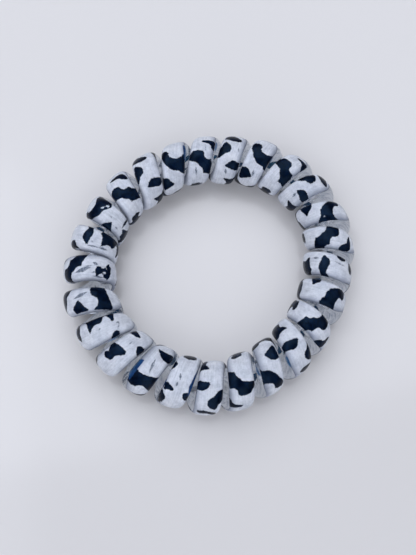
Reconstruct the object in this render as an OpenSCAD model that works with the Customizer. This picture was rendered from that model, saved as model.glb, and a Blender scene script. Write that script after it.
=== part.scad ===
// Spiral hair tie: one soft cord of flattened section, wound into a ring of coils
// whose ends are joined, so that the coil has no end. It lies flat on z = 0 with the
// middle of its box over the origin, and hair goes through the opening in the middle.

/* [Ring] */
// Diameter of the circle that runs through the middle of the coils
ring_d = 45.4; // [42:0.2:60]

/* [Coil] */
// Outer diameter of one turn of the coil
coil_d = 9.9; // [8.5:0.1:11.5]

/* [Cord] */
// Width of the cord, across the face that looks out of the coil
cord_w = 5.2; // [3.6:0.1:6]
// Thickness of the cord, from the outside of a turn to its inside
cord_t = 3.3; // [2.4:0.1:3.6]
// Least gap between one turn of the cord and the next
turn_gap = 0.14; // [0.1:0.02:0.6]

/* [Hidden] */

// One row for each turn, counterclockwise round the ring as seen from above. The coil
// is springy and has been pulled about, so its turns stand a little unevenly.
//   angle  where the top of the turn stands round the ring, in degrees
//   reach  distance of the turn from the ring's centre, as a share of the ring's radius
//   size   diameter of the turn, as a share of coil_d
//   lean   how far the outer side of the turn lags behind its top and its inner side
//          runs ahead, in degrees, on top of the winding's own slant
TURN_ROWS = [
    // angle, reach, size, lean
    [-2, 0.98, 0.95, 0],
    [11.5, 1.02, 0.95, 1.5],
    [24, 1.055, 0.92, 0.5],
    [38.6, 1.05, 0.935, -0.3],
    [52, 1.045, 0.95, 0],
    [66.5, 1.025, 0.945, -1.5],
    [79.8, 0.985, 0.95, -1.2],
    [94.5, 0.975, 0.93, 0],
    [109.8, 0.96, 0.92, 0.8],
    [124.8, 0.95, 0.98, 0.4],
    [140.2, 0.965, 0.93, 0],
    [155, 0.975, 0.935, -0.8],
    [169.7, 1.005, 0.96, -0.9],
    [183.3, 1.015, 1.03, -2.3],
    [199.2, 1.04, 1.03, -0.2],
    [214.3, 1.03, 1.03, -0.3],
    [227.7, 1.02, 1.045, -0.6],
    [241.3, 1.01, 1.04, -0.8],
    [256.7, 1.005, 1.02, -0.7],
    [269.7, 1.03, 1, -1.5],
    [283.8, 1, 1, -0.8],
    [298.2, 0.97, 0.95, 0],
    [313.7, 0.955, 0.97, 0.2],
    [328.4, 0.95, 0.94, 0],
    [343.4, 0.96, 0.95, -2.2],
];
turns = len(TURN_ROWS);

// Angle round the ring after t turns of an even winding
function even_angle(t) = 360 / turns * t;

// The columns of the table, one list each, with the angle as the lead over even spacing
lead = [for (k = [0:turns - 1]) TURN_ROWS[k][0] - even_angle(k)];
reach = [for (row = TURN_ROWS) row[1]];
size = [for (row = TURN_ROWS) row[2]];
lean = [for (row = TURN_ROWS) row[3]];

// Cross-section of the cord: an oval between an ellipse (2) and a rectangle
section_sides = 12;
section_power = 2.4;
// How sharply the cord's width is held back where its neighbours leave less room
squeeze_power = 6;
rings_per_turn = 18;
// Small share of a turn, either side of a point, from which the cord's direction is found
nearby = 0.001;

// A column's value at t turns from the first row, on a smooth closed curve through all rows
function eased(column, t) =
    let (
        k = floor(t),
        f = t - k,
        a = column[(k - 1 + 2 * turns) % turns],
        b = column[(k + 2 * turns) % turns],
        c = column[(k + 1 + 2 * turns) % turns],
        d = column[(k + 2 + 2 * turns) % turns]
    )
    b + f * ((c - a) / 2 + f * ((2 * a - 5 * b + 4 * c - d) / 2 + f * (3 * b - a - 3 * c + d) / 2));

// Angle round the turn at t: 90 on top, 180 on the inner side, 270 below, 0 outside
top_angle = 90;
function turn_angle(t) = top_angle + 360 * t;

// Angle round the ring at t
function ring_angle(t) = even_angle(t) + eased(lead, t) - eased(lean, t) * cos(turn_angle(t));

// Middle of the cord at t turns along it, each turn resting on z = 0
function cord_middle(t) =
    let (
        coil_r = coil_d / 2 * eased(size, t),
        wind_r = coil_r - cord_t / 2,
        out = ring_d / 2 * eased(reach, t) + wind_r * cos(turn_angle(t))
    )
    [out * cos(ring_angle(t)), out * sin(ring_angle(t)), coil_r + wind_r * sin(turn_angle(t))];

function unit(v) = v / norm(v);

// Value with its size raised to a power and its sign kept
function signed_power(v, power) = sign(v) * pow(abs(v), power);

// Half-width of the cord, eased down to the room that there is
function held_back(half, room) = half / pow(1 + pow(half / room, squeeze_power), 1 / squeeze_power);

// One ring of section_sides points round the cord at t. Its width is kept clear of the
// turns before and after, and more so on the side that faces the ring's centre.
function cord_ring(t) =
    let (
        middle = cord_middle(t),
        along = unit(cord_middle(t + nearby) - cord_middle(t - nearby)),
        outward = [cos(ring_angle(t)), sin(ring_angle(t)), 0],
        radial = cos(turn_angle(t)) * outward + sin(turn_angle(t)) * [0, 0, 1],
        face = unit(radial - (radial * along) * along),
        across = cross(along, face),
        to_next = norm(cross(cord_middle(t + 1) - middle, along)),
        to_last = norm(cross(middle - cord_middle(t - 1), along)),
        middle_out = middle * outward
    )
    [for (side = [0:section_sides - 1])
        let (
            a = side * 360 / section_sides,
            u = cord_w / 2 * signed_power(cos(a), 2 / section_power),
            v = cord_t / 2 * signed_power(sin(a), 2 / section_power),
            spread = 1 + v * (face * outward) / middle_out,
            room = (u > 0 ? to_next : to_last) / 2 * spread - turn_gap / 2
        )
        middle + sign(u) * held_back(abs(u), room) * across + v * face];

ring_count = turns * rings_per_turn;
cord_points = [for (k = [0:ring_count - 1]) each cord_ring(k / rings_per_turn)];

// Two triangles between each pair of neighbouring points on one ring and the next
cord_faces = [
    for (k = [0:ring_count - 1], side = [0:section_sides - 1])
        let (
            here = k * section_sides,
            ahead = (k + 1) % ring_count * section_sides,
            next_side = (side + 1) % section_sides
        )
        each [
            [here + side, ahead + next_side, ahead + side],
            [here + side, here + next_side, ahead + next_side],
        ],
];

// Middle of the cord's box in plan, and its lowest level
function column_of(points, axis) = [for (p = points) p[axis]];
function middle_of(values) = (min(values) + max(values)) / 2;
box_middle = [
    middle_of(column_of(cord_points, 0)),
    middle_of(column_of(cord_points, 1)),
    min(column_of(cord_points, 2)),
];

// The wound cord, a single closed loop with no ends
module spiral_cord() {
    color([0.84, 0.86, 0.91])
        translate(-box_middle)
            polyhedron(cord_points, cord_faces, convexity = 12);
}

spiral_cord();
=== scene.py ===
# Spiral hair tie with a cow print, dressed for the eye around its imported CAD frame.
import math

import bpy
import numpy as np
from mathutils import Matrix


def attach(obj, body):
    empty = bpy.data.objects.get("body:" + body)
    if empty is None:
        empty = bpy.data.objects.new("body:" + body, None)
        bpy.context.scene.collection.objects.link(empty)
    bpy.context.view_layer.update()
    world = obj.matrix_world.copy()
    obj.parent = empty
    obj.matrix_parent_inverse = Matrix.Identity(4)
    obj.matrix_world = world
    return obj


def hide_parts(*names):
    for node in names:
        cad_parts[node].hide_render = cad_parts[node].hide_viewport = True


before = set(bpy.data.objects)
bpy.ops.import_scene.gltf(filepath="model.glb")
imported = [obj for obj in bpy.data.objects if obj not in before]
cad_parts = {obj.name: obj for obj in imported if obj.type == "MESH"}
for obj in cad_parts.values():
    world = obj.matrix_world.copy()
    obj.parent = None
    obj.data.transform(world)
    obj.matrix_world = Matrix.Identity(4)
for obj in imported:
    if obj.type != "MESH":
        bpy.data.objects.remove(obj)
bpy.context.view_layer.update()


# The photograph's view
# A camera a hand's width and a half above the tie, tipped a little towards its front side,
# so that the ring shows nearly round. The picture is 416 by 555 pixels.
MM = 0.001
PICTURE_WIDTH = 416
FOCAL_PIXELS = 841.3
CAMERA_ELEVATION = math.radians(74)
CAMERA_DISTANCE = 160 * MM
AIM = np.array([-0.26, -1.57, 5.25]) * MM
SENSOR_WIDTH = 36

camera_data = bpy.data.cameras.new("camera")
camera_data.sensor_fit = "HORIZONTAL"
camera_data.sensor_width = SENSOR_WIDTH
camera_data.lens = SENSOR_WIDTH * FOCAL_PIXELS / PICTURE_WIDTH
camera_data.clip_start = 10 * MM
camera = bpy.data.objects.new("camera", camera_data)
bpy.context.scene.collection.objects.link(camera)
towards_camera = np.array([0, -math.cos(CAMERA_ELEVATION), math.sin(CAMERA_ELEVATION)])
camera.location = AIM + CAMERA_DISTANCE * towards_camera
camera.rotation_euler = (math.pi / 2 - CAMERA_ELEVATION, 0, 0)
bpy.context.scene.camera = camera
bpy.context.scene.view_settings.view_transform = "Standard"


# The table under the tie
# A pale table top, far wider than the view, lacquered and smooth enough to mirror the tie a little.
# It is no part of the object.
TABLE_SIDE = 3.0


class Value:
    """A socket of a material's node tree, with the arithmetic that is used on it."""

    def __init__(self, tree, socket):
        self.tree = tree
        self.socket = socket

    def maths(self, operation, *inputs):
        return self.tree.node("ShaderNodeMath", {"operation": operation}, dict(enumerate(inputs)))

    def __add__(self, other):
        return self.maths("ADD", self, other)

    def __sub__(self, other):
        return self.maths("SUBTRACT", self, other)

    def __rsub__(self, other):
        return self.maths("SUBTRACT", other, self)

    def __mul__(self, other):
        return self.maths("MULTIPLY", self, other)

    __radd__ = __add__
    __rmul__ = __mul__

    def between(self, low, high):
        """0 below low and 1 above high, with a smooth step from one to the other."""
        settings = {"interpolation_type": "SMOOTHSTEP"}
        sockets = {"Value": self, "From Min": low, "From Max": high}
        return self.tree.node("ShaderNodeMapRange", settings, sockets)


class Material:
    """A new material: its node tree, and the shader that makes its surface."""

    def __init__(self, name):
        self.made = bpy.data.materials.new(name)
        self.made.use_nodes = True
        self.nodes = self.made.node_tree.nodes
        self.links = self.made.node_tree.links
        self.shader = self.nodes["Principled BSDF"]

    def node(self, kind, settings, sockets, out=0):
        """A node of this kind: its settings come first, then the values or links of its sockets."""
        made = self.nodes.new(kind)
        for name, value in settings.items():
            setattr(made, name, value)
        for key, value in sockets.items():
            self.put(made.inputs[key], value)
        return Value(self, made.outputs[out])

    def put(self, socket, value):
        if isinstance(value, Value):
            self.links.new(value.socket, socket)
        else:
            socket.default_value = value

    def surface(self, **sockets):
        """Sets the shader's sockets, named with _ for a space."""
        for name, value in sockets.items():
            self.put(self.shader.inputs[name.replace("_", " ")], value)

    def attribute(self, name, out="Fac"):
        """What the piece keeps for each of its points under this name: a number, or a place where
        out is "Vector"."""
        return self.node("ShaderNodeAttribute", {"attribute_name": name}, {}, out)

    def object_place(self):
        return self.node("ShaderNodeTexCoord", {}, {}, out="Object")

    def noise(self, place, size, detail, rough):
        """Cloudy noise, 0 to 1, whose blotches are about size wide, in the units of place."""
        sockets = {"Vector": place, "Scale": 1 / size, "Detail": detail, "Roughness": rough}
        return self.node("ShaderNodeTexNoise", {}, sockets)

    def mix(self, share, first, second):
        """The first colour where share is 0, the second where it is 1."""
        sockets = {0: share, 6: first, 7: second}
        return self.node("ShaderNodeMix", {"data_type": "RGBA"}, sockets, out=2)

    def bump(self, height, strength, distance):
        sockets = {"Height": height, "Strength": strength, "Distance": distance}
        return self.node("ShaderNodeBump", {}, sockets)


def colour(red, green, blue):
    """A colour read as 8-bit display values, as the linear light that a shader takes, by the
    usual display curve: a straight piece near black, and a power of 2.4 above it."""
    shown = np.array([red, green, blue]) / 255
    linear = np.where(shown <= 0.04045, shown / 12.92, ((shown + 0.055) / 1.055) ** 2.4)
    return (*linear, 1.0)


table_mesh = bpy.data.meshes.new("table_top")
half_side = TABLE_SIDE / 2
table_corners = [(x * half_side, y * half_side, 0) for x, y in ((-1, -1), (1, -1), (1, 1), (-1, 1))]
table_mesh.from_pydata(table_corners, [], [(0, 1, 2, 3)])
table_top = bpy.data.objects.new("table_top", table_mesh)
bpy.context.scene.collection.objects.link(table_top)
table_gloss = Material("table_gloss")
table_gloss.surface(Base_Color=colour(208, 205, 204), Roughness=0.12, IOR=1.45)
table_mesh.materials.append(table_gloss.made)


# Soft studio light
# Four cloth-covered panels stand round the table, with the camera looking in from the open top,
# which stays dim so that dark patches stay dark. The one behind and to the left is brightest.
PANEL_DISTANCE = 1.4
PANEL_SIZE = 1.45
PANEL_TINT = (0.87, 0.91, 1.0)
ROOM_TINT = (0.86, 0.91, 1.0, 1)
ROOM_STRENGTH = 0.16

world = bpy.data.worlds.new("dim_room")
world.use_nodes = True
background = world.node_tree.nodes["Background"]
background.inputs["Color"].default_value = ROOM_TINT
background.inputs["Strength"].default_value = ROOM_STRENGTH
bpy.context.scene.world = world


def light_panel(name, azimuth, elevation, power):
    """A square lamp that faces the tie from this azimuth and elevation, in degrees. Azimuth 0 is
    the camera's side and 90 the right; power is in watts."""
    lamp = bpy.data.lights.new(name, "AREA")
    lamp.size = PANEL_SIZE
    lamp.energy = power
    lamp.color = PANEL_TINT
    panel = bpy.data.objects.new(name, lamp)
    bpy.context.scene.collection.objects.link(panel)
    around = math.radians(azimuth)
    up = math.radians(elevation)
    direction = [math.sin(around) * math.cos(up), -math.cos(around) * math.cos(up), math.sin(up)]
    panel.location = PANEL_DISTANCE * np.array(direction)
    panel.rotation_euler = (math.pi / 2 - up, 0, around)


light_panel("back_panel", 192, 58, 14.2)
light_panel("left_panel", 275, 50, 7.8)
light_panel("right_panel", 85, 45, 5.8)
light_panel("front_panel", 0, 30, 10.5)


# The wound cord
# One soft clear cord of flattened oval section, moulded, wound left-handed into a ring of turns
# and melted end to end. It is the same surface as the CAD solid, with finer faces.

# Its sizes in mm, which are the CAD's
RING_RADIUS = 22.7
COIL_DIAMETER = 9.9
CORD_WIDTH = 5.2
CORD_THICKNESS = 3.3
TURN_GAP = 0.14
# The section's power, from 2 for an ellipse towards a rectangle, and how sharply the turns
# before and after hold its width back
SECTION_POWER = 2.4
SQUEEZE_POWER = 6
# The CAD's steps round the section and along a turn, and the finer ones here
CAD_SIDES = 12
CAD_RINGS_PER_TURN = 18
CORD_SIDES = 40
CORD_RINGS_PER_TURN = 96
# Share of a turn, either side of a point, from which the cord's direction is found
NEARBY = 0.001
# Steps round the section in which its length is added up
SECTION_STEPS = 1440
# Length of the outward face over one turn, in mm, that print and scratches are laid out on
ALONG_PER_TURN = 30.8
# How many rows a tube's bake map has, and the bare share above and below each
BAKE_ROWS = 9
BAKE_MARGIN = 0.04
# How much lengths along the cord count for its fine lines, so that they are drawn out along it
DRAWN_OUT = 0.25
# A depth for places that are well outside every outline, in mm
FAR_OUTSIDE = -2.0
CLEAR = colour(244, 247, 252)
DRAWN_LINE = colour(142, 156, 178)
# Blue painted onto the clear sides, as the print's dark patches would look refracted through them
CORD_REFRACTION_BLUE = colour(26, 70, 132)

# One row for each turn, counterclockwise, with part.scad's four columns first:
#   angle, reach, size, lean
# and then how the printed film lies on the turn, with lengths in mm:
#   lead    how far the print has run ahead of one even length a turn
#   shift   how far the print lies towards the next turn
#   skew    how much further it lies that way for each mm towards the ring's centre
#   slant   how far it runs ahead for each mm towards the next turn
#   near    where the film's edge on the side of the turn before lies across the cord
#   far     where its edge on the side of the next turn lies
#   curl    how far the film strays towards the next turn on the coil's outer side
#   turned  how far it strays the other way on the inner side
TURN_ROWS = np.array([
    # angle, reach, size, lean, lead, shift, skew, slant, near, far, curl, turned
    [-2, 0.98, 0.95, 0, 0, 0, 0, 0, -2.9, 3.6, 1.0, 0],
    [11.5, 1.02, 0.95, 1.5, 0, 0, 0, 0, -2.7, 3.6, 2.0, 0],
    [24, 1.055, 0.92, 0.5, 0, 0, 0, 0, -2.0, 3.6, 1.5, 0],
    [38.6, 1.05, 0.935, -0.3, -0.85, -1.1, 0, 0, -2.4, 3.6, 3.0, 0],
    [52, 1.045, 0.95, 0, 0, -0.5, 0, 0, -2.6, 3.6, 3.4, 0],
    [66.5, 1.025, 0.945, -1.5, -0.7, -0.8, 0, 0, -3.1, 3.6, 2.0, 0],
    [79.8, 0.985, 0.95, -1.2, -1.6, -1.1, 0, 0, -2.6, 3.6, 1.0, 0],
    [94.5, 0.975, 0.93, 0, -1.2, -0.5, 0, 0, -2.6, 3.6, 1.2, 0],
    [109.8, 0.96, 0.92, 0.8, -1.3, -0.1, 0, 0, -2.9, 3.6, 0.8, 0],
    [124.8, 0.95, 0.98, 0.4, -1.6, -0.6, 0, 0, -3.5, 3.6, 0.8, 0],
    [140.2, 0.965, 0.93, 0, 0, 0.2, 0, 0, -3.5, 3.6, 0.5, 0],
    [155, 0.975, 0.935, -0.8, 1.7, 0.6, 0, 0, -3.4, 2.7, 0.5, 0],
    [169.7, 1.005, 0.96, -0.9, 2.0, -0.3, 0, 0, -3.3, 3.2, 0.5, 0],
    [183.3, 1.015, 1.03, -2.3, 4.2, 0.5, 0.1, 0.3, -2.6, 3.6, 0.8, 0.5],
    [199.2, 1.04, 1.03, -0.2, 6.1, -0.4, 0, 0, -3.1, 3.1, 0, 1.5],
    [214.3, 1.03, 1.03, -0.3, 7.4, -1.65, -0.1, 0, -3.1, 3, 0, 2.5],
    [227.7, 1.02, 1.045, -0.6, 10.1, -1.5, 0, 0, -3.1, 3.6, 0.3, 2.5],
    [241.3, 1.01, 1.04, -0.8, 11.5, 0.1, 0, 0, -2.1, 3.6, 1.2, 2.5],
    [256.7, 1.005, 1.02, -0.7, 12.0, -1.7, 0.1, 0, -3.4, 3.6, 0.8, 1.5],
    [269.7, 1.03, 1, -1.5, 1.5, -1.4, 0, 0, -3.0, 3.6, 0.5, 0.5],
    [283.8, 1, 1, -0.8, 2.2, -0.8, 0, 0, -2.7, 3.6, 0.5, 0],
    [298.2, 0.97, 0.95, 0, 2.5, -0.7, 0, 0, -2.0, 3.6, 0.8, 1.5],
    [313.7, 0.955, 0.97, 0.2, 1.3, -0.5, 0, 0, -2.8, 3.6, 0.8, 0],
    [328.4, 0.95, 0.94, 0, 2.1, 0, 0, 0, -2.6, 3.6, 1.0, 0],
    [343.4, 0.96, 0.95, -2.2, 1.5, 0, 0.25, 0, -2.6, 3.6, 1.5, 0],
])
TURNS = len(TURN_ROWS)
angle, reach, size, lean, print_lead, print_shift, print_skew, print_slant = TURN_ROWS.T[:8]
film_near, film_far, film_curl, film_turned = TURN_ROWS.T[8:]
angle_lead = angle - 360 / TURNS * np.arange(TURNS)


def eased(column, t, closed=True):
    """A column's value at t turns: a cubic through every row whose slope at a row is half the
    step from the row before to the row after. Past its ends the column starts again where it
    is closed, and otherwise keeps its last value."""
    row = np.floor(t).astype(int)
    f = t - row
    rows = [row + i for i in (-1, 0, 1, 2)]
    rows = [r % TURNS if closed else np.clip(r, 0, TURNS - 1) for r in rows]
    a, b, c, d = (column[r] for r in rows)
    slope = (c - a) / 2
    bend = (2 * a - 5 * b + 4 * c - d) / 2
    twist = (3 * b - a - 3 * c + d) / 2
    return b + f * (slope + f * (bend + f * twist))


def inwards(t):
    """How far a turn faces the ring's centre at t: the sine of the way gone round from its top,
    which is 1 on the inner side, 0 on top and underneath, and -1 on the outer side."""
    return np.sin(2 * np.pi * t)


def ring_angle(t):
    """Angle round the ring, in radians: an even winding, plus the turn's own lead, plus its lean
    times how far it faces inwards."""
    return np.radians(360 / TURNS * t + eased(angle_lead, t) + eased(lean, t) * inwards(t))


def turn_angle(t):
    """Angle round the turn, in radians: a quarter of the way round on top, half on the inner side."""
    return np.pi / 2 + 2 * np.pi * t


def cord_middle(t):
    """Middle of the cord at t turns, in mm: a circle of the turn's winding radius, which stands
    upright on the ring's circle and rests on the table."""
    coil_radius = COIL_DIAMETER / 2 * eased(size, t)
    wind_radius = coil_radius - CORD_THICKNESS / 2
    out = RING_RADIUS * eased(reach, t) + wind_radius * np.cos(turn_angle(t))
    level = coil_radius + wind_radius * np.sin(turn_angle(t))
    return np.stack([out * np.cos(ring_angle(t)), out * np.sin(ring_angle(t)), level], axis=-1)


def unit(vectors):
    """Vectors divided by their own lengths."""
    return vectors / np.linalg.norm(vectors, axis=-1, keepdims=True)


def section(side_angle):
    """How far across the cord and how far out its skin lies at an angle round its section, in mm:
    an oval between an ellipse and a rectangle, the half-width times the cosine and the
    half-thickness times the sine, each raised to one power with its sign kept."""
    cosine = np.cos(side_angle)
    sine = np.sin(side_angle)
    across = CORD_WIDTH / 2 * np.sign(cosine) * np.abs(cosine) ** (2 / SECTION_POWER)
    out = CORD_THICKNESS / 2 * np.sign(sine) * np.abs(sine) ** (2 / SECTION_POWER)
    return across, out


def cord_surface(t, side_angle, proud=0.0):
    """Points on the cord's skin, in mm: an array of t by an array of angles round the section,
    set square to the cord with its face outwards. The half-width is eased down to the room that
    the turns before and after leave. proud lifts the skin along the section."""
    t = np.broadcast_to(t, side_angle.shape)
    middle = cord_middle(t)
    along = unit(cord_middle(t + NEARBY) - cord_middle(t - NEARBY))
    outward = np.stack([np.cos(ring_angle(t)), np.sin(ring_angle(t)), np.zeros_like(t)], axis=-1)
    radial = np.cos(turn_angle(t))[..., None] * outward + np.sin(turn_angle(t))[..., None] * [0, 0, 1]
    face = unit(radial - (radial * along).sum(-1, keepdims=True) * along)
    across = np.cross(along, face)
    to_next = np.linalg.norm(np.cross(cord_middle(t + 1) - middle, along), axis=-1)
    to_last = np.linalg.norm(np.cross(middle - cord_middle(t - 1), along), axis=-1)
    u, v = section(side_angle)
    spread = 1 + v * (face * outward).sum(-1) / (middle * outward).sum(-1)
    room = np.where(u > 0, to_next, to_last) / 2 * spread - TURN_GAP / 2
    width = np.abs(u)
    width = width / (1 + (width / room) ** SQUEEZE_POWER) ** (1 / SQUEEZE_POWER)
    skin = middle + (np.sign(u) * width + proud * np.cos(side_angle))[..., None] * across
    return skin + (v + proud * np.sin(side_angle))[..., None] * face


def closed_loop(rings_per_turn, sides):
    """The whole cord, evenly stepped: t of each ring as a column, the angles of its sides on every
    ring, and the points of its skin, in mm."""
    t = (np.arange(TURNS * rings_per_turn) / rings_per_turn)[:, None]
    side_angle = 2 * np.pi * np.arange(sides)[None, :] / sides + 0 * t
    return t, side_angle, cord_surface(t, side_angle)


# The CAD places its box over the origin, on the surface
cad_skin = closed_loop(CAD_RINGS_PER_TURN, CAD_SIDES)[2].reshape(-1, 3)
box_middle = (cad_skin.min(0) + cad_skin.max(0)) / 2
box_middle[2] = cad_skin[:, 2].min()


def woven_tube(name, points, closed_along):
    """A closed tube from an array of rings by sides, in mm: one four-sided face between each
    point, the next on its ring, and the same two on the next ring. Its ends are joined where it
    is closed_along, and capped otherwise. Its bake map lays the rings out in rows, one above
    the other."""
    rings, sides = points.shape[:2]
    steps = rings if closed_along else rings - 1
    ring = np.repeat(np.arange(steps), sides)
    side = np.tile(np.arange(sides), steps)
    ahead = (ring + 1) % rings
    beside = (side + 1) % sides
    corners = np.stack([ring * sides + side, ahead * sides + side,
                        ahead * sides + beside, ring * sides + beside], axis=1)
    faces = corners.tolist()
    if not closed_along:
        faces.append(list(range(sides)))
        faces.append(list(range((rings - 1) * sides, rings * sides))[::-1])
    mesh = bpy.data.meshes.new(name)
    mesh.from_pydata(((points - box_middle) * MM).reshape(-1, 3), [], faces)
    mesh.shade_smooth()
    piece = bpy.data.objects.new(name, mesh)
    bpy.context.scene.collection.objects.link(piece)

    per_row = math.ceil(steps / BAKE_ROWS)
    row = ring // per_row
    start = (ring - row * per_row) / per_row
    end = start + 1 / per_row
    low = side / sides
    high = low + 1 / sides
    u = np.stack([start, end, end, start], axis=1)
    v = np.stack([low, low, high, high], axis=1)
    v = (row[:, None] + BAKE_MARGIN + (1 - 2 * BAKE_MARGIN) * v) / BAKE_ROWS
    places = np.zeros((len(mesh.loops), 2), dtype=np.float32)
    places[:corners.size] = np.stack([u, v], axis=-1).reshape(-1, 2)
    mesh.uv_layers.new(name="OFBake").data.foreach_set("uv", places.ravel())
    return piece


def keep_on_points(piece, name, values):
    """Keeps a number for each point of a piece, or a place of three numbers, under a name that
    its material reads."""
    kind, field = ("FLOAT_VECTOR", "vector") if values.ndim == 3 else ("FLOAT", "value")
    piece.data.attributes.new(name, kind, "POINT").data.foreach_set(field, values.ravel())


def places_of(along, across, third):
    """Three numbers for each point, put together as one place."""
    return np.stack(np.broadcast_arrays(along, across, third), axis=-1)


def section_walk():
    """Angles round the section, from the middle of its inward face, and how many mm round it each
    lies from the middle of its outward face: the sum of the short steps between them."""
    angles = np.radians(np.linspace(-90, 270, SECTION_STEPS + 1))
    u, v = section(angles)
    walked = np.append(0, np.cumsum(np.hypot(np.diff(u), np.diff(v))))
    return angles, walked - np.interp(np.pi / 2, angles, walked)


section_angles, section_walked = section_walk()


def across_at(side_angle):
    """How many mm across the cord, round its section from the middle of its outward face, an
    angle lies. It is more than 0 towards the next turn."""
    side_angle = (side_angle + np.pi / 2) % (2 * np.pi) - np.pi / 2
    return -np.interp(side_angle, section_angles, section_walked)


def angle_at(across):
    """The angle round the section that lies so many mm across the cord."""
    return np.interp(-across, section_walked, section_angles)


def inside_by(outline, x, y):
    """How far points lie inside a closed outline, in mm, and less than 0 outside it: the least
    distance to its sides, with its sign from how many sides a level line from the point crosses."""
    start = np.array(outline)
    end = np.roll(start, -1, axis=0)
    nearest = np.full(x.shape, np.inf)
    inside = np.zeros(x.shape, dtype=bool)
    for (x0, y0), (x1, y1) in zip(start, end):
        dx = x1 - x0
        dy = y1 - y0
        share = np.clip(((x - x0) * dx + (y - y0) * dy) / (dx * dx + dy * dy), 0, 1)
        nearest = np.minimum(nearest, np.hypot(x - x0 - share * dx, y - y0 - share * dy))
        if dy:
            inside ^= ((y0 > y) != (y1 > y)) & (x < x0 + (y - y0) * dx / dy)
    return np.where(inside, nearest, -nearest)


def drawn_depth(drawn, t, across):
    """How far inside any of these outlines the cord is, in mm, at t turns and so many mm across.
    Each goes with its row of TURN_ROWS, and is drawn in mm from the top of that turn, along the
    cord and across it."""
    depth = np.full(across.shape, FAR_OUTSIDE)
    for row, outline in drawn:
        turns_on = (t - row + TURNS / 2) % TURNS - TURNS / 2
        depth = np.maximum(depth, inside_by(outline, ALONG_PER_TURN * turns_on + 0 * across, across))
    return depth


# Where dark patches of the print would show blue through the cord's clear sides. This refraction is
# painted: blue is put into the colour of the cord and of the film's face there.
PAINTED_REFRACTIONS = [
    (5, [(0.0, -3.1), (-0.3, -4.4), (-2.2, -4.4), (-2.2, -3.1)]),
    (7, [(-1.4, -2.7), (-1.6, -3.8), (-4.8, -4.2), (-4.8, -2.7)]),
    (8, [(-0.2, -2.5), (-0.4, -4.0), (-4.0, -4.4), (-4.4, -2.0)]),
    (15, [(-1.3, 4.4), (-0.4, 3.5), (1.5, 2.9), (2.7, 2.8), (1.1, 4.4)]),
    (17, [(-4.6, -1.5), (-3.5, -3.4), (-2.0, -3.4), (-0.2, -3.3), (0.2, -1.3)]),
    (17, [(-0.8, 2.8), (-0.3, 3.5), (-2.2, 4.4), (-2.8, 3.4)]),
    (18, [(-1.5, -2.6), (-1.7, -3.7), (-3.4, -4.2), (-3.5, -2.6)]),
    (18, [(4.4, 3.2), (3.4, 4.4), (1.4, 4.8), (-1.8, 4.5), (-3.2, 2.7), (-1.1, 1.9), (1.5, 2.3)]),
    (19, [(2.4, -3.0), (0.4, -3.0), (-2.0, -2.7), (-3.0, -3.6), (-2.2, -4.4), (0.0, -4.2)]),
    (21, [(1.3, -3.1), (-0.1, -4.3), (-1.2, -4.3), (-2.4, -2.2)]),
    (22, [(-1.9, -2.5), (-2.4, -3.5), (-4.0, -3.5), (-5.0, -2.5)]),
]

cord_t, cord_angles, cord_points = closed_loop(CORD_RINGS_PER_TURN, CORD_SIDES)
cord = woven_tube("clear_cord", cord_points, closed_along=True)
cord_place = places_of(DRAWN_OUT * ALONG_PER_TURN * cord_t,
                       CORD_WIDTH * np.cos(cord_angles), CORD_WIDTH * np.sin(cord_angles))
keep_on_points(cord, "cord_place", cord_place)
keep_on_points(cord, "painted_refraction_depth", drawn_depth(PAINTED_REFRACTIONS, cord_t, across_at(cord_angles)))


def torn(depth, noise, stray, low, high):
    """0 outside an outline and 1 inside it: the depth inside it, moved by half of stray either
    way with the noise, and stepped up smoothly from low to high. All are in mm."""
    return (depth + (noise - 0.5) * stray).between(low, high)


clear_plastic = Material("clear_plastic")
lengthways = clear_plastic.attribute("cord_place", out="Vector")
drawn_lines = clear_plastic.noise(lengthways, size=0.9, detail=4.0, rough=0.7)
haze = clear_plastic.noise(clear_plastic.object_place(), size=1.5 * MM, detail=3.0, rough=0.6)
painted_refraction_depth = clear_plastic.attribute("painted_refraction_depth")
# Painted refraction: the print's dark patches, as they would look through the clear sides, painted
# onto the cord in blue
refraction_share = torn(painted_refraction_depth, haze, stray=0.5, low=-0.1, high=0.1)
tint = clear_plastic.mix(drawn_lines.between(0.42, 0.68), CLEAR, DRAWN_LINE)
tint = clear_plastic.mix(refraction_share, tint, CORD_REFRACTION_BLUE)
ripples = clear_plastic.bump(drawn_lines + haze * 0.4, strength=0.7, distance=0.08 * MM)
clear_plastic.surface(Base_Color=tint, Roughness=0.08 + haze * 0.16, IOR=1.46,
                      Transmission_Weight=1.0, Normal=ripples)
cord.data.materials.append(clear_plastic.made)
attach(cord, "root")
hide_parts("spiral_cord")


# The printed film
# A thin glossy plastic film on the outward face of the cord, white with dark navy cow patches,
# laid on flat before the cord was wound. Its print is one short repeat that runs round and round.
FILM_THICKNESS = 0.12
# How far it stands out of the cord's skin, in mm
FILM_PROUD = 0.05
# How far across the cord it can reach on each side, in mm
FILM_SIDE = 4.4
# How sharply its stray is held to the very sides of a turn
STRAY_POWER = 9
# Its steps along a turn, across its face and across its lining
FILM_RINGS_PER_TURN = 96
FILM_COLUMNS = 32
LINING_COLUMNS = 5
# The cord's melted joint, how far short of it the film stops on each side, in turns, and the
# first row of TURN_ROWS after it
JOINT_ROW = 18.5
JOINT_HALF = 0.02
FIRST_ROW = 19
# The print's place on top of that row's turn, the length of its repeat, and where its chart
# starts, in mm
FIRST_PLACE = 61.6
REPEAT = 92.4
REPEAT_START = -6.0
# Radius of the circle that one turn of the outward face goes round, in mm
WRAP_RADIUS = ALONG_PER_TURN / (2 * np.pi)
# How lengths along and across the film count for its streaks, so that they lie along it
STREAK_STRETCH = (0.25, 4, 1)
DULL_WHITE = colour(156, 161, 173)
BRIGHT_WHITE = colour(227, 230, 240)
SCRATCH_GREY = colour(98, 105, 118)
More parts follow.
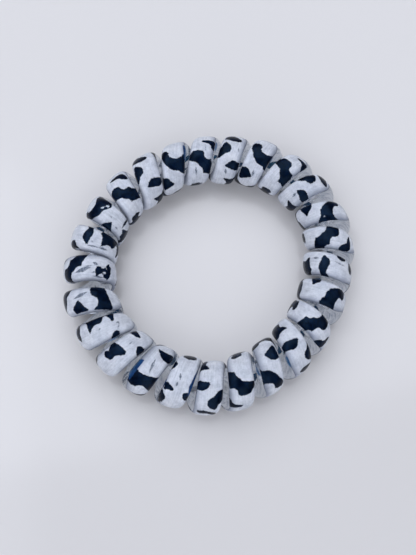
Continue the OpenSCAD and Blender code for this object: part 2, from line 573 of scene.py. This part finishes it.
# Painted shade for the white towards the film's edges
PAINTED_EDGE_SHADE = colour(96, 102, 116)
DEEP_NAVY = colour(0, 4, 20)
NAVY = colour(5, 18, 39)
# Painted refraction on the film's face: a neighbour's dark print as it would look through the clear
# side
FILM_REFRACTION_DEEP_BLUE = colour(18, 46, 88)
FILM_REFRACTION_BLUE = colour(30, 66, 114)
BACK_WHITE = colour(212, 214, 220)
BACK_BLUE = colour(20, 56, 88)
BLACK = colour(0, 0, 0)

# Outlines of the print's patches over one repeat, in mm: along the film, then across it. The
# guessed ones lie underneath, where the photograph shows next to nothing of the print.
PATCHES = [
    # zigzag
    [(-0.9, 2.2), (-1.2, 1.4), (-1.35, 0.5), (-1.0, 0), (-0.2, -0.15), (0.1, -0.5), (0.1, -0.9),
     (0, -1.6), (0.6, -1.8), (0.95, -2.2), (1.0, -2.8), (0.9, -4.2), (4.6, -4.2), (3.9, -2.7),
     (3.5, -1.6), (3.25, -0.8), (3.2, -0.2), (2.6, -0.2), (2.2, 0.1), (1.9, 0.6), (1.4, 0.9),
     (1.3, 1.6), (1.35, 2.6), (1.3, 3.4), (0.9, 4.2), (0.3, 3.4), (-0.3, 2.7)],
    # boot
    [(-3.9, 0.85), (-3.45, 0.9), (-3.3, 0.3), (-3.3, -0.4), (-3.05, -0.95), (-2.5, -1.2),
     (-2.2, -1.6), (-2, -2.1), (-2.2, -2.6), (-3.2, -2.6), (-4.3, -2.2), (-4.6, -1.6),
     (-4.4, -0.6), (-4.15, 0.2)],
    # rag
    [(6.1, 0.1), (6.4, 0.8), (6.8, 1.4), (7.3, 1.5), (7.9, 1.4), (8.4, 1.6), (8.9, 2.0),
     (9.6, 2.4), (10.1, 2.1), (10.1, 1.4), (10, 0.8), (9.7, 0), (9.4, -0.8), (9.0, -1.5),
     (8.4, -1.5), (8.0, -0.5), (7.6, -0.1), (7.1, -0.4), (6.7, -0.7), (6.3, -0.4)],
    # wedge
    [(11.3, 3.9), (11.5, 3.4), (12.0, 2.7), (12.4, 2.4), (13.1, 3.0), (13.6, 3.8), (13.8, 4.6),
     (11.5, 4.6)],
    # peg
    [(13.2, -0.3), (13.3, 0.7), (13.7, 1.4), (14.0, 1.5), (14.4, 1.0), (14.6, 0.3),
     (14.9, -0.6), (15.0, -2.0), (13.1, -2.0)],
    # guessed patch
    [(16.9, 1.3), (17.6, 2.1), (18.5, 2.0), (18.9, 1.1), (19.9, 0.6), (19.6, -0.6),
     (18.7, -1.2), (18.2, -2.4), (17.4, -2.1), (17.5, -0.9), (16.8, -0.1)],
    # hourglass
    [(28.7, 2.9), (28, 2.6), (27.8, 1.9), (27.75, 1.2), (28.2, 0.85), (28.85, 0.85),
     (29.25, 0.55), (29.4, 0), (29.42, -0.8), (29, -1.4), (28.4, -1.9), (27.8, -2.2),
     (27.2, -3), (25.5, -4.3), (31, -4.5), (31.8, -3.5), (32.4, -2.9), (32.8, -2.2),
     (32.6, -1.7), (32.4, -1.2), (32, -0.9), (31.95, -0.2), (31.9, 0.4), (31.5, 1),
     (30.9, 1.6), (30.2, 2.1), (29.5, 2.6)],
    # flag
    [(33.5, 1.9), (33.65, 1.25), (34, 1), (34.3, 0.75), (34.6, 0.3), (34.9, 0.25), (35.4, 0.9),
     (36, 1.6), (36.7, 2.4), (36.4, 2.8), (35.2, 3.1), (34, 3.2), (33.7, 2.5)],
    # bell
    [(37.6, 2.9), (38, 2.3), (38.5, 1.7), (38.6, 1), (38.4, 0.5), (37.8, 0.2), (37.5, -0.1),
     (37.2, -0.7), (37.1, -1.4), (37.4, -2.4), (37.4, -4.2), (41.4, -4.2), (40.7, -2.4),
     (40.4, -1.4), (40.4, -0.6), (40.6, 0.1), (40.8, 0.9), (41.2, 1.8), (41.6, 2.7),
     (41.9, 4.2), (36.8, 4.2), (36.9, 3.3)],
    # comma
    [(44.6, 1.3), (44.8, 2.0), (45.2, 2.7), (46.2, 3.3), (47.8, 3.1), (47.5, 2.3), (46.7, 1.5),
     (46.4, 0.8), (46.2, -0.1), (46.1, -0.7), (45.7, -0.4), (45.3, 0.1), (44.8, 0.6)],
    # guessed patch
    [(47.0, -1.4), (47.8, -0.9), (48.7, -0.5), (49.6, -0.9), (49.9, -1.8), (49.0, -2.6),
     (48.2, -3.4), (47.1, -2.8)],
    # cap
    [(51.5, -1.2), (53.0, -1.0), (54.5, -1.5), (56.2, -2.1), (56.8, -2.6), (56.0, -4.2),
     (51.0, -4.2)],
    # moon
    [(56.3, 3.2), (55.6, 2.4), (55.4, 1.5), (55.9, 0.6), (56.3, -0.2), (56.8, -0.45), (57.3, 0),
     (57.6, 0.7), (57.6, 1.6), (57.4, 2.4), (57.2, 3.1)],
    # bowl
    [(58.1, 2.6), (58.4, 2.0), (58.8, 1.4), (59.4, 1.15), (60.1, 1.2), (60.6, 1.6), (60.8, 2.1),
     (61.4, 2.5), (62.0, 2.9), (62.3, 3.6), (62.4, 4.5), (60.0, 4.5), (59.8, 3.7), (59.2, 3.1),
     (58.5, 3.0)],
    # drop
    [(62.9, 1.4), (63.35, 1.6), (63.4, 1), (63.5, 0.3), (63.7, -0.5), (63.6, -1.1),
     (63.2, -1.9), (62.9, -2.6), (62.5, -4.2), (60.2, -4.2), (60.9, -2.8), (61.4, -2.2),
     (62, -1.75), (61.85, -1), (61.7, -0.2), (61.75, 0.35), (62.2, 0.9)],
    # crown
    [(66.0, 1.2), (66.5, 0.9), (67.3, 0.3), (68.0, 0.4), (68.6, 0.6), (69.1, 0.2), (69.6, -0.6),
     (69.7, -1.6), (69.2, -2.3), (68.2, -2.6), (65.8, -2.8), (65.2, -1.7), (65.1, -1.4),
     (65.7, -0.7), (65.9, 0.1)],
    # leaf
    [(70.6, 1.1), (70.8, 1.35), (71.2, 1.3), (71.5, 0.7), (71.8, 0), (71.8, -0.4), (71.2, -1.2),
     (70.6, -2.0), (69.5, -3.0), (67.5, -3.0), (69.6, -0.9), (70.3, 0), (70.6, 0.6)],
    # lid
    [(69.7, 3.9), (70.1, 3.4), (70.6, 3.1), (71.1, 3.15), (71.5, 3.6), (71.5, 4.6), (69.6, 4.6)],
    # dome
    [(74.2, -2.0), (74.6, -0.6), (75.1, -0.1), (75.7, 0.05), (76.2, -0.2), (76.8, -0.9),
     (77.2, -2.0), (76.5, -3.0), (75.0, -3.0)],
    # egg
    [(77.6, 1.4), (77.9, 2.3), (78.6, 2.7), (79.6, 2.4), (80.0, 1.4), (79.6, 0.3), (78.7, -0.1),
     (77.9, 0.5)],
    # guessed patch
    [(81.0, -0.8), (81.8, -0.4), (82.4, -1.0), (83.2, -1.3), (83.0, -2.3), (82.0, -2.9),
     (81.2, -2.2)],
]

# Scratches in the white, each a thin leaf shape from one end to the other. In mm from the top of
# a turn: row of TURN_ROWS, along and across at one end, along and across at the other, width
SCRATCHES = [
    (0, -3.3, 0.3, -0.3, 0.6, 0.35),
    (0, 2.3, 0.8, 3.9, 0.7, 0.55),
    (3, 2.6, 0.0, 4.2, -0.1, 0.6),
    (5, 3.1, -0.4, 4.8, -0.7, 0.6),
    (6, -1.2, -1.2, -0.1, -1.5, 0.35),
    (6, 3.6, 0.2, 5.0, -0.1, 0.6),
    (7, -1.8, -0.5, 0.1, -0.8, 0.25),
    (7, 2.7, 0.9, 5.6, 0.5, 0.5),
    (11, 1.0, 0.0, 2.0, 0.2, 0.4),
    (11, 3.2, 1.1, 4.5, 1.1, 0.4),
    (12, -0.6, 1.4, 2.4, 1.2, 0.45),
    (12, 0.1, 0.5, 0.9, 0.5, 0.35),
    (12, 1.8, 1.2, 4.1, 1.0, 0.55),
    (13, -2.5, 1.3, 1.0, 0.4, 0.9),
    (13, -0.6, 0.3, 1.2, 0.1, 0.4),
    (13, 0.6, 1.5, 1.9, 1.2, 0.4),
    (13, 0.6, 2.05, 4.1, 2.3, 0.5),
    (13, 1.0, -0.6, 2.3, 0.0, 0.7),
    (14, -3.1, -0.4, 0.1, -1.5, 0.8),
    (15, -1.2, 0.1, -0.5, -0.3, 0.35),
    (15, 2.0, 0.1, 2.7, -0.2, 0.35),
    (15, 2.7, -0.3, 2.8, 0.4, 0.35),
    (15, 2.9, 0.2, 2.1, 1.1, 0.4),
    (16, 0.9, 0.0, 2.2, -0.3, 0.35),
    (17, -1.2, 0.8, 1.8, 0.1, 0.65),
    (18, -2.0, -0.4, -0.8, -0.3, 0.5),
    (18, -0.7, 0.0, 0.8, -0.5, 0.5),
]

# Chips out of the dark patches, in the same way
CHIPS = [
    (2, 0.7, -1.0, 0.1, -1.1, 0.4),
    (11, -1.3, -0.2, -0.8, -0.9, 0.45),
    (11, -0.9, -1.2, 0.0, -1.5, 0.7),
    (13, 1.95, 2.0, 3.7, 1.95, 0.9),
    (13, 3.0, 1.15, 3.9, 1.4, 0.5),
    (13, 3.0, 2.1, 5.8, 3.5, 0.9),
    (13, 3.5, 0.2, 4.1, 0.6, 0.4),
    (13, 3.9, -1.3, 4.5, -0.2, 0.4),
]

# Bare places on the sides and the underside, where no dark ink shows through the clear cord
BARE_PLACES = [
    (11, 4.9, 0.6, 7.6, -3.2, 2.4),
    (11, 5.4, 1.6, 8.2, 4.0, 1.7),
    (12, -6.6, 0.6, -4.0, 0.9, 1.0),
    (12, -4.0, 3.6, -1.8, 2.6, 1.4),
    (13, 10.6, -1.0, 14.4, -1.4, 2.8),
    (14, -16.0, 3.6, 16.0, 3.6, 2.8),
    (17, 9.5, -0.3, 16.3, -0.7, 4.0),
    (18, -5.5, -0.5, -8.8, -1.7, 1.5),
    (18, -2.8, -2.4, -4.6, -3.5, 1.0),
    (19, -7.4, -2.0, -7.3, 2.0, 2.1),
    (19, 8.0, 0.2, 20.0, 0.2, 4.6),
]

film_steps = TURNS * FILM_RINGS_PER_TURN
film_t = (JOINT_ROW + np.linspace(JOINT_HALF, TURNS - JOINT_HALF, film_steps + 1))[:, None]


def film_row(column):
    """A column's value all along the film, which starts and ends at the cord's joint."""
    return eased(np.roll(column, -FIRST_ROW), film_t - FIRST_ROW, closed=False)


inner_stray = film_row(film_turned) * np.maximum(inwards(film_t), 0) ** STRAY_POWER
outer_stray = film_row(film_curl) * np.maximum(-inwards(film_t), 0) ** STRAY_POWER
near_edge = np.maximum(film_row(film_near) + outer_stray - inner_stray, -FILM_SIDE)
far_edge = np.minimum(film_row(film_far) + outer_stray - inner_stray, FILM_SIDE)


def film_side(shares, proud):
    """One side of the film, at shares of its width from its near edge to its far one: how many mm
    across the cord its points lie, and the points, so far proud of the cord's skin."""
    across = near_edge + (far_edge - near_edge) * shares
    return across, cord_surface(film_t, angle_at(across), proud)


def print_depth(across):
    """How far inside a dark patch the film is, in mm, at so many mm across the cord. The place on
    the print is the length run since FIRST_ROW, plus its lead and slant, and the distance across,
    less its shift and skew."""
    run = FIRST_PLACE + ALONG_PER_TURN * (film_t - FIRST_ROW) + film_row(print_lead)
    print_along = (run + film_row(print_slant) * across - REPEAT_START) % REPEAT + REPEAT_START
    skewed = film_row(print_skew) * WRAP_RADIUS * inwards(film_t)
    print_across = across - film_row(print_shift) - skewed
    depth = np.full(across.shape, FAR_OUTSIDE)
    for outline in PATCHES:
        depth = np.maximum(depth, inside_by(outline, print_along, print_across))
    return depth


def leaf(row, along_0, across_0, along_1, across_1, width):
    """A leaf shape's row and outline: its two ends, with a corner half its width from its middle
    on each side."""
    length = math.hypot(along_1 - along_0, across_1 - across_0)
    beside = np.array([across_0 - across_1, along_1 - along_0]) * width / 2 / length
    middle = np.array([along_0 + along_1, across_0 + across_1]) / 2
    return row, [(along_0, across_0), middle + beside, (along_1, across_1), middle - beside]


def leaf_depth(leaves, across):
    """How far inside any of these leaf shapes the film is, in mm, at so many mm across."""
    return drawn_depth([leaf(*numbers) for numbers in leaves], film_t, across)


# The film's section runs back over its face from the far edge, and forward over its lining
face_across, face_points = film_side(np.linspace(1, 0, FILM_COLUMNS + 1), FILM_PROUD)
lining_across, lining_points = film_side(np.linspace(0, 1, LINING_COLUMNS + 1),
                                         FILM_PROUD - FILM_THICKNESS)
film_points = np.concatenate([face_points, lining_points], axis=1)
# Where a turn rests on the table, the film is pressed flush
film_points[..., 2] = np.maximum(film_points[..., 2], box_middle[2])
film = woven_tube("printed_film", film_points, closed_along=False)

film_across = np.concatenate([face_across, lining_across], axis=1)
inked_depth = np.minimum(print_depth(film_across), -leaf_depth(CHIPS + BARE_PLACES, film_across))
film_back = np.concatenate([0 * face_across, 1 + 0 * lining_across], axis=1)
keep_on_points(film, "print_depth", inked_depth)
keep_on_points(film, "scratch", leaf_depth(SCRATCHES, film_across))
keep_on_points(film, "from_edge", np.minimum(film_across - near_edge, far_edge - film_across))
keep_on_points(film, "painted_refraction_depth", drawn_depth(PAINTED_REFRACTIONS, film_t, film_across))
keep_on_points(film, "film_back", film_back)
keep_on_points(film, "film_place", places_of(ALONG_PER_TURN * film_t, film_across, film_back))

film_gloss = Material("film_gloss")
place = film_gloss.object_place()
lengthways = film_gloss.attribute("film_place", out="Vector")
lengthways = film_gloss.node("ShaderNodeVectorMath", {"operation": "MULTIPLY"},
                             {0: lengthways, 1: STREAK_STRETCH})
ragged = film_gloss.noise(place, size=0.5 * MM, detail=5.0, rough=0.75)
cloud = film_gloss.noise(place, size=1.6 * MM, detail=4.0, rough=0.65)
grain = film_gloss.noise(place, size=0.3 * MM, detail=2.0, rough=0.6)
streaks = film_gloss.noise(lengthways, size=1.0, detail=3.0, rough=0.6)
ink = torn(film_gloss.attribute("print_depth"), ragged, stray=0.7, low=-0.05, high=0.05)
worn = torn(film_gloss.attribute("scratch"), ragged, stray=0.35, low=-0.06, high=0.1)
refraction_share = torn(film_gloss.attribute("painted_refraction_depth"), ragged, stray=0.4, low=-0.06, high=0.06)

# The white is cloudy and a little streaked, and scratched down to grey. Painted shade darkens it
# towards the film's edges, where it curves down the turn's sides.
tone = cloud * 0.5 + grain * 0.2 + streaks * 0.3
white = film_gloss.mix(tone.between(0.2, 0.76), DULL_WHITE, BRIGHT_WHITE)
white = film_gloss.mix(worn * grain.between(0.2, 0.55), white, SCRATCH_GREY)
# Painted shade towards the film's edges
painted_shade_share = film_gloss.attribute("from_edge").between(-0.5, 1.7)
white = film_gloss.mix(painted_shade_share, PAINTED_EDGE_SHADE, white)
navy = film_gloss.mix(cloud.between(0.35, 0.7), DEEP_NAVY, NAVY)
front = film_gloss.mix(ink, white, navy)
# Painted refraction: blue put onto the film where a neighbour's dark print would be seen through the
# clear side
film_refraction_tone = film_gloss.mix(cloud.between(0.35, 0.65), FILM_REFRACTION_DEEP_BLUE, FILM_REFRACTION_BLUE)
front = film_gloss.mix(refraction_share, front, film_refraction_tone)

# The lining is seen through the clear cord. It is given a weak painted glow in its own colours, which
# stands in for the light that comes through the film.
lining = film_gloss.attribute("film_back")
back = film_gloss.mix(ink, BACK_WHITE, BACK_BLUE)
printed = film_gloss.mix(lining, front, back)
painted_glow = film_gloss.mix(lining, BLACK, back)
relief = streaks * 0.5 + cloud + grain * 0.2 - worn * 0.5
film_gloss.surface(Base_Color=printed, Roughness=0.18 + cloud * 0.14, IOR=1.45,
                   Specular_IOR_Level=0.15, Specular_Tint=(0.35, 0.65, 1, 1),
                   Subsurface_Weight=1.0, Subsurface_Radius=(1, 1, 1), Subsurface_Scale=0.6 * MM,
                   Emission_Color=painted_glow, Emission_Strength=0.24,
                   Normal=film_gloss.bump(relief, strength=0.3, distance=0.03 * MM))
film.data.materials.append(film_gloss.made)
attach(film, "root")
